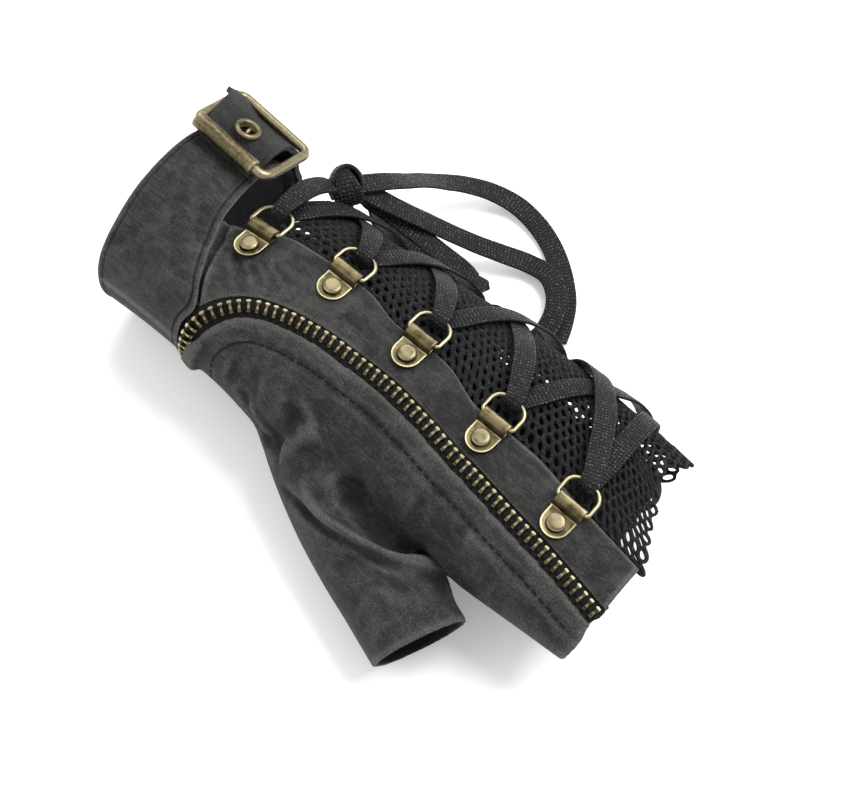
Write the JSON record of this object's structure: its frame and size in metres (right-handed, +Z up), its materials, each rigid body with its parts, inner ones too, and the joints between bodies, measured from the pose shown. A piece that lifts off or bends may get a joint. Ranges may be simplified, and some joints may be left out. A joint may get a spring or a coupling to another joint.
{
  "type": "fingerless laced mesh glove",
  "caption": "Fingerless left-hand leather glove with a net back laced through brass rings, a zip trim and a buckled cuff.",
  "frame": {"origin": "middle of the bottom of the box round the glove, without the loose ends and loop of the lace, on the surface that the palm side rests on", "axes": "+X from the wrist to the fingers, +Y to the little-finger side, +Z up, out of the back of the hand"},
  "size_m": [0.174, 0.14, 0.0555],
  "materials": {
    "leather": "matt scuffed dark grey faux leather with a fine grain",
    "net": "black knitted net",
    "lace": "flat black waxed braid",
    "tape": "black twill zipper tape",
    "teeth": "pale antique brass",
    "brass": "brushed antique brass with bright edges"
  },
  "bodies": {
    "root": {"lace_plate_near_1": "brass", "rivet_near_1": "brass", "lace_ring_near_1": "brass", "lace_plate_near_2": "brass", "rivet_near_2": "brass", "lace_ring_near_2": "brass", "lace_plate_near_3": "brass", "rivet_near_3": "brass", "lace_ring_near_3": "brass", "lace_plate_near_4": "brass", "rivet_near_4": "brass", "lace_ring_near_4": "brass", "lace_plate_near_5": "brass", "rivet_near_5": "brass", "lace_ring_near_5": "brass", "lace_plate_far_1": "brass", "rivet_far_1": "brass", "lace_ring_far_1": "brass", "lace_plate_far_2": "brass", "rivet_far_2": "brass", "lace_ring_far_2": "brass", "lace_plate_far_3": "brass", "rivet_far_3": "brass", "lace_ring_far_3": "brass", "lace_plate_far_4": "brass", "rivet_far_4": "brass", "lace_ring_far_4": "brass", "lace_plate_far_5": "brass", "rivet_far_5": "brass", "lace_ring_far_5": "brass", "cuff": "leather", "side_panel": "leather", "far_panel": "leather", "palm": "leather", "thumb_sleeve": "leather", "cuff_strap": "leather", "mesh_back": "net", "finger_web_1": "net", "finger_web_2": "net", "finger_web_3": "net", "zipper_tape": "tape", "zipper_teeth": "teeth", "lace": "lace", "lace_knot": "lace", "lace_tail_long": "lace", "lace_tail_short": "lace", "lace_loop": "lace", "buckle_frame": "brass", "buckle_roller": "brass", "buckle_prong": "brass", "strap_eyelet": "brass"}
  },
  "joints": []
}
